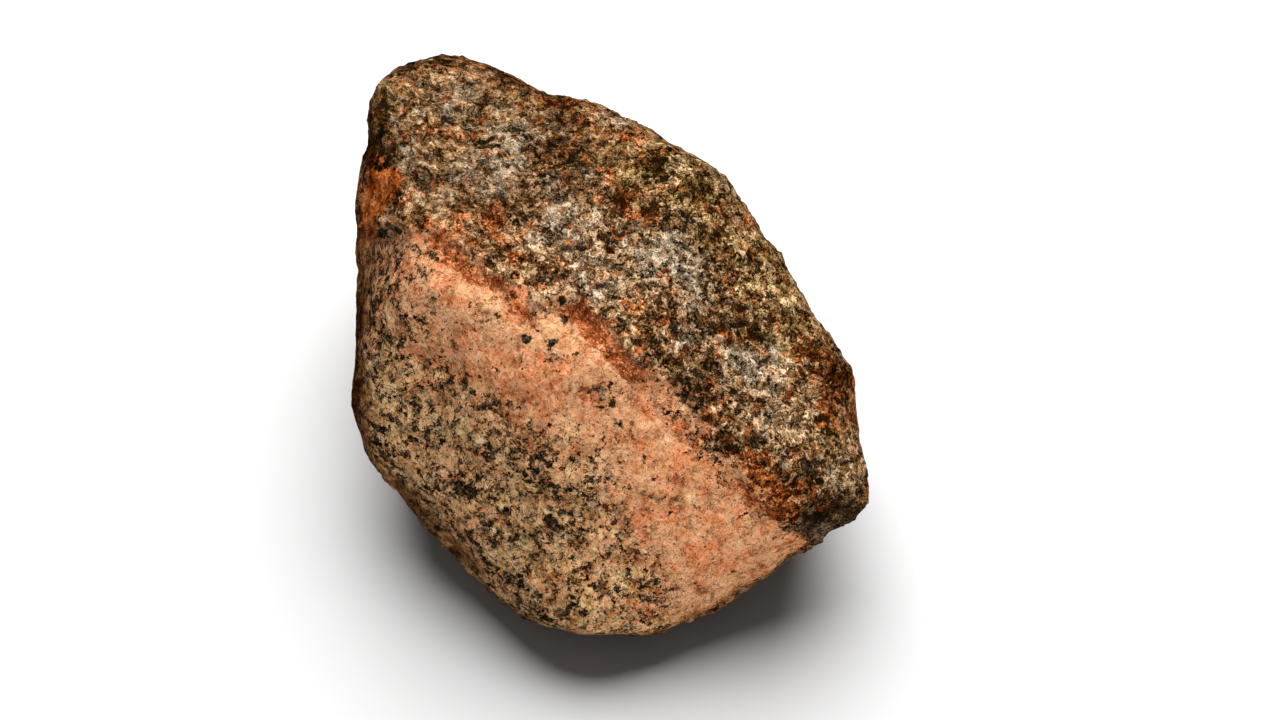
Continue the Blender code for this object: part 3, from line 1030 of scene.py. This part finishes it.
black = n.calc("MAXIMUM", n.span(over, -0.005, 0.008, 1.0, 0.0), n.calc("MAXIMUM", pricks, pepper))
mica_colour = n.ramp(
    n.add(n.times(crumb[0], 0.5), n.times(dust, 0.5)), [(0.25, (14, 8, 3)), (0.48, (28, 20, 10)), (0.62, (50, 41, 27)), (0.78, (92, 80, 60))]
)
smooth_colour = n.mix(black, smooth_colour, mica_colour)
# painted shade: the left of the smooth face is a little darker, evening out the key light
across = n.split(place)[0]
smooth_colour = n.mix(n.span(across, 12.0, -14.0, 0.0, 0.36), smooth_colour, rgb(200, 211, 216), "MULTIPLY")

# -- the two together, along a ragged border
border = n.add(side, n.part(n.noise(place, 0.50, 5.0, 0.72), 17.0, -8.5), n.part(mid[2], 1.0, -0.5))
is_rough = n.span(border, -0.35, 0.35)
colour = n.mix(is_rough, smooth_colour, rough_colour)

# -- stains
scarp_share = n.span(n.add(scarp, n.part(hue[1], 2.2, -1.1), n.part(crumb[0], 0.2, -0.1)), 0.28, 0.55, 0.0, 0.96)
scarp_tone = n.add(grain, n.part(pores, 2.0, -1.0), n.part(mid[0], 0.2, -0.1), -0.02)
scarp_colour = palette(
    scarp_tone, (52, 23, 9), (90, 42, 16), (124, 59, 25), (148, 74, 35), (168, 92, 50), (192, 118, 73), (222, 158, 114)
)
colour = n.mix(scarp_share, colour, scarp_colour)
orange_share = n.span(n.add(orange, n.part(tint[1], 3.0, -1.5), n.part(crumb[0], 0.3, -0.15)), 0.35, 0.60, 0.0, 0.96)
orange_tone = n.add(n.part(swirls, 1.8, -0.36), n.part(curls, 1.1, -0.55), n.part(blotch, 1.4, -0.7), n.part(mid[0], 0.26, -0.13))
orange_colour = palette(
    orange_tone, (34, 17, 6), (76, 37, 12), (124, 60, 20), (156, 76, 28), (182, 92, 38), (206, 116, 58), (228, 156, 100)
)
colour = n.mix(orange_share, colour, orange_colour)

# -- the old skin, and painted shade at the rims
# cavity here paints highlight on the raised grain and shade in the hollows
skin_tone = n.add(
    n.part(swirls, 2.2, -0.62),
    n.part(curls, 1.5, -0.75),
    n.part(mid[0], 0.28, -0.14),
    n.part(crumb[0], 0.16, -0.08),
    n.part(dust, 0.60, -0.30),
    n.part(blotch, 1.3, -0.65),
    n.part(patch, 1.2, -0.60),
    n.times(cavity, 0.25),
)
skin_colour = palette(
    skin_tone, (12, 7, 3), (30, 18, 8), (50, 32, 16), (76, 51, 28), (104, 73, 43), (136, 99, 62), (184, 144, 98)
)
umber_colour = palette(
    skin_tone, (16, 8, 3), (38, 19, 7), (66, 34, 14), (98, 53, 24), (128, 73, 37), (160, 100, 57), (202, 148, 100)
)
umber_share = n.add(n.part(hue[2], 3.8, -1.95), n.part(hue_fine[2], 2.2, -1.1), n.times(rust, 0.2))
skin_colour = n.mix(n.span(umber_share, 0.0, 0.35, 0.0, 0.9), skin_colour, umber_colour)
skin_and_rim_shade_share = n.span(n.add(skin_and_rim_shade, n.part(blotch, 1.0, -0.5), n.part(hue[2], 1.0, -0.5)), 0.30, 0.75)
# on the display side the skin darkens the colour as a multiply, partly painted shade at the rims, and the grain of the
# stone still shows through it
colour = n.mix(n.times(skin_and_rim_shade_share, front), colour, rgb(172, 150, 128), "MULTIPLY")
skin_and_rim_shade_mix = n.times(skin_and_rim_shade_share, n.part(front, -0.50, 0.90))
colour = n.mix(skin_and_rim_shade_mix, colour, skin_colour)
# painted shade and dark crust at the rims: a darkening multiply
colour = n.mix(n.span(n.add(rim_shade_and_crust, n.part(hue[1], 1.4, -0.7), n.part(tint[0], 2.0, -1.0)), 0.15, 0.90), colour, rgb(140, 118, 96), "MULTIPLY")
tip_colour = palette(
    skin_tone, (14, 9, 5), (28, 18, 10), (44, 30, 18), (62, 44, 28), (82, 61, 41), (104, 80, 57), (146, 121, 94)
)
tip_share = n.span(n.add(tip, n.part(blotch, 1.2, -0.6), n.part(mid[2], 0.3, -0.15)), 0.35, 0.75, 0.0, 0.95)
colour = n.mix(tip_share, colour, tip_colour)

# -- single black grains
flat_place = n.vector("MULTIPLY", chipped, (1.0, 1.0, 0.0))
black_grain = None
for (cu, cv), (ru, rv), turn in BLACK_GRAINS:
    one = n.new("ShaderNodeMapping", vector_type="TEXTURE")
    n.put(flat_place, one.inputs["Vector"])
    one.inputs["Location"].default_value = (cu, cv, 0.0)
    one.inputs["Rotation"].default_value = (0.0, 0.0, turn)
    one.inputs["Scale"].default_value = (ru, rv, 1.0)
    share = n.span(n.vector("LENGTH", one.outputs[0]), 0.85, 1.1, 1.0, 0.0)
    black_grain = share if black_grain is None else n.calc("MAXIMUM", black_grain, share)
black_grain = n.times(black_grain, n.span(front, 0.4, 0.6))
colour = n.mix(black_grain, colour, mica_colour)

# -- painted shade in the hollows, with dirt in them
colour = n.mix(n.span(cavity, -0.10, -0.42, 0.0, 0.55), colour, rgb(34, 21, 10), "MIX")

n.put(colour, shader.inputs["Base Color"])

# -- gloss: crystal faces catch the light, dust doesn't
gloss_rough = n.add(0.50, n.times(mid[2], 0.22), n.part(dust, 0.2, -0.1))
gloss_smooth = n.add(0.62, n.part(dust, 0.25, -0.12))
gloss = n.between(is_rough, gloss_smooth, gloss_rough)
gloss = n.between(black, gloss, 0.42)
gloss = n.between(black_grain, gloss, 0.35)
n.put(gloss, shader.inputs["Roughness"])
shader.inputs["Specular IOR Level"].default_value = 0.0
shader.inputs["Metallic"].default_value = 0.0

# -- relief finer than the mesh, in millimetres
relief_rough = n.add(
    n.times(swirls, 0.40),
    n.times(curls, 0.08),
    n.times(big_tilt, 0.36),
    n.times(mid_tilt, 0.24),
    n.times(small_tilt, 0.07),
    n.times(mid_away, 0.12),
    n.times(dust, 0.05),
    n.times(n.times(layered, streak_fine), 0.45),
)
relief_smooth = n.add(
    n.times(fleck_tilt, 0.06),
    n.times(crumb_tilt, 0.07),
    n.times(curls, 0.10),
    n.times(dust, 0.10),
    n.times(black, -0.04),
    n.times(pore_share, -0.10),
)
relief_skin = n.add(n.times(mid_tilt, 0.10), n.times(small_tilt, 0.06), n.times(curls, 0.12), n.times(dust, 0.10), n.times(blotch, 0.3))
relief = n.between(is_rough, relief_smooth, relief_rough)
relief = n.between(n.times(skin_and_rim_shade_mix, 0.8), relief, relief_skin)
bump = n.new("ShaderNodeBump")
bump.inputs["Strength"].default_value = 1.0
bump.inputs["Distance"].default_value = MM
n.put(relief, bump.inputs["Height"])
n.put(bump.outputs[0], shader.inputs["Normal"])

mesh.materials.append(finish)
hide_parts("meteorite")
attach(stone, "root")

# ----------------------------------------------------------------- the studio
scene = bpy.context.scene
scene.view_settings.view_transform = "Standard"
scene.view_settings.look = "None"
scene.view_settings.exposure = 0.0
scene.view_settings.gamma = 1.0

world = bpy.data.worlds.new("studio")
scene.world = world
world.use_nodes = True
nodes, links = world.node_tree.nodes, world.node_tree.links
nodes.clear()
sky = nodes.new("ShaderNodeBackground")
sky.inputs["Color"].default_value = (1.0, 1.0, 1.0, 1.0)
sky.inputs["Strength"].default_value = 0.10
wall = nodes.new("ShaderNodeBackground")
wall.inputs["Color"].default_value = (1.0, 1.0, 1.0, 1.0)
wall.inputs["Strength"].default_value = 1.0
seen = nodes.new("ShaderNodeLightPath")
pick = nodes.new("ShaderNodeMixShader")
output = nodes.new("ShaderNodeOutputWorld")
links.new(seen.outputs["Is Camera Ray"], pick.inputs[0])
links.new(sky.outputs[0], pick.inputs[1])
links.new(wall.outputs[0], pick.inputs[2])
links.new(pick.outputs[0], output.inputs["Surface"])

floor_mesh = bpy.data.meshes.new("floor")
r = 6.0
floor_mesh.from_pydata([(-r, -r, 0), (r, -r, 0), (r, r, 0), (-r, r, 0)], [], [(0, 1, 2, 3)])
floor = bpy.data.objects.new("floor", floor_mesh)
scene.collection.objects.link(floor)
paper = bpy.data.materials.new("pale_floor")
paper.use_nodes = True
paper_shader = paper.node_tree.nodes["Principled BSDF"]
paper_shader.inputs["Base Color"].default_value = (0.70, 0.70, 0.70, 1.0)
paper_shader.inputs["Roughness"].default_value = 0.9
paper_shader.inputs["Specular IOR Level"].default_value = 0.1
floor_mesh.materials.append(paper)


def softbox(name, towards, far, wide, tall, power):
    """A soft light that shines on the stone from this direction."""
    light = bpy.data.lights.new(name, "AREA")
    light.shape = "ELLIPSE"
    light.size = wide
    light.size_y = tall
    light.energy = power
    lamp = bpy.data.objects.new(name, light)
    way = Vector(towards).normalized()
    lamp.location = way * far + Vector((0.0, 0.0, 0.02))
    lamp.rotation_euler = way.to_track_quat("Z", "Y").to_euler()
    scene.collection.objects.link(lamp)
    return lamp


softbox("key", (0.02, 0.57, 0.82), 1.70, 2.00, 1.75, 71.0)
fill = softbox("fill", (0.42, -0.58, 0.80), 1.20, 1.00, 1.00, 14.0)
lit = bpy.data.collections.new("lit_by_fill")
lit.objects.link(stone)
fill.light_linking.receiver_collection = lit

# the camera looks down on the stone at the angle of its display face
up, back = Vector((0.0, SIN, COS)), Vector((0.0, -COS, SIN))
PIXEL = 1 / 6.52 * MM  # one picture point at the stone, of 1280 across
body_middle = Vector((CENTRE[0], CENTRE[1], BASE_DROP)) * MM
aim = body_middle + Vector((30 * PIXEL, 0, 0)) - up * (15 * PIXEL)
lens = bpy.data.cameras.new("camera")
lens.lens = 135.0
lens.sensor_width = 36.0
lens.clip_start = 0.02
lens.clip_end = 50.0
camera = bpy.data.objects.new("camera", lens)
camera.location = aim + back * 0.736
camera.rotation_euler = back.to_track_quat("Z", "Y").to_euler()
scene.collection.objects.link(camera)
scene.camera = camera
